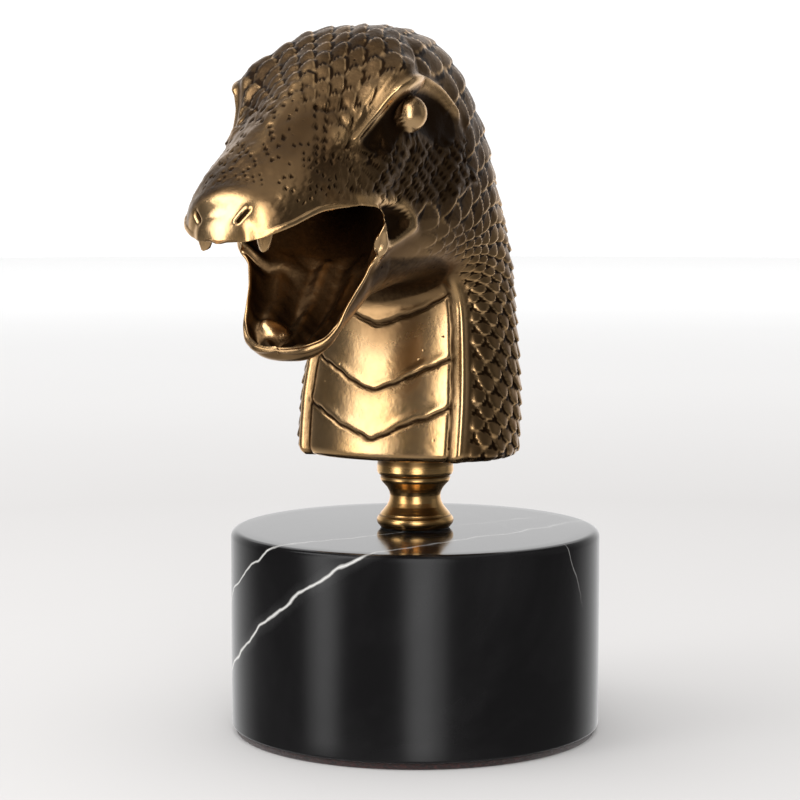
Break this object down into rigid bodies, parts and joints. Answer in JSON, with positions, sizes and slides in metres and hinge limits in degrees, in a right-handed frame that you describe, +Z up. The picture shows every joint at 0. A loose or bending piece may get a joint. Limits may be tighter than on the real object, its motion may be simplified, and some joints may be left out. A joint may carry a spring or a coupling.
{
  "type": "chinese zodiac figure",
  "caption": "Cast bronze snake's head with an open mouth, scales and belly plates, on a small turned stem and a round black marble base.",
  "frame": {"origin": "middle of the base's underside, on the table", "axes": "+Z up; the snake looks along -Y; +X is the snake's left"},
  "size_m": [0.0868, 0.1304, 0.1642],
  "materials": {
    "bronze": "cast bronze with dark brown patina in the hollows and rubbed gold edges",
    "brass": "polished",
    "marble": "polished black marble with thin white veins",
    "felt": "dark red felt"
  },
  "bodies": {
    "root": {"snake_head": "bronze", "brass_stem": "brass", "marble_base": "marble", "felt_pad": "felt"}
  },
  "joints": []
}
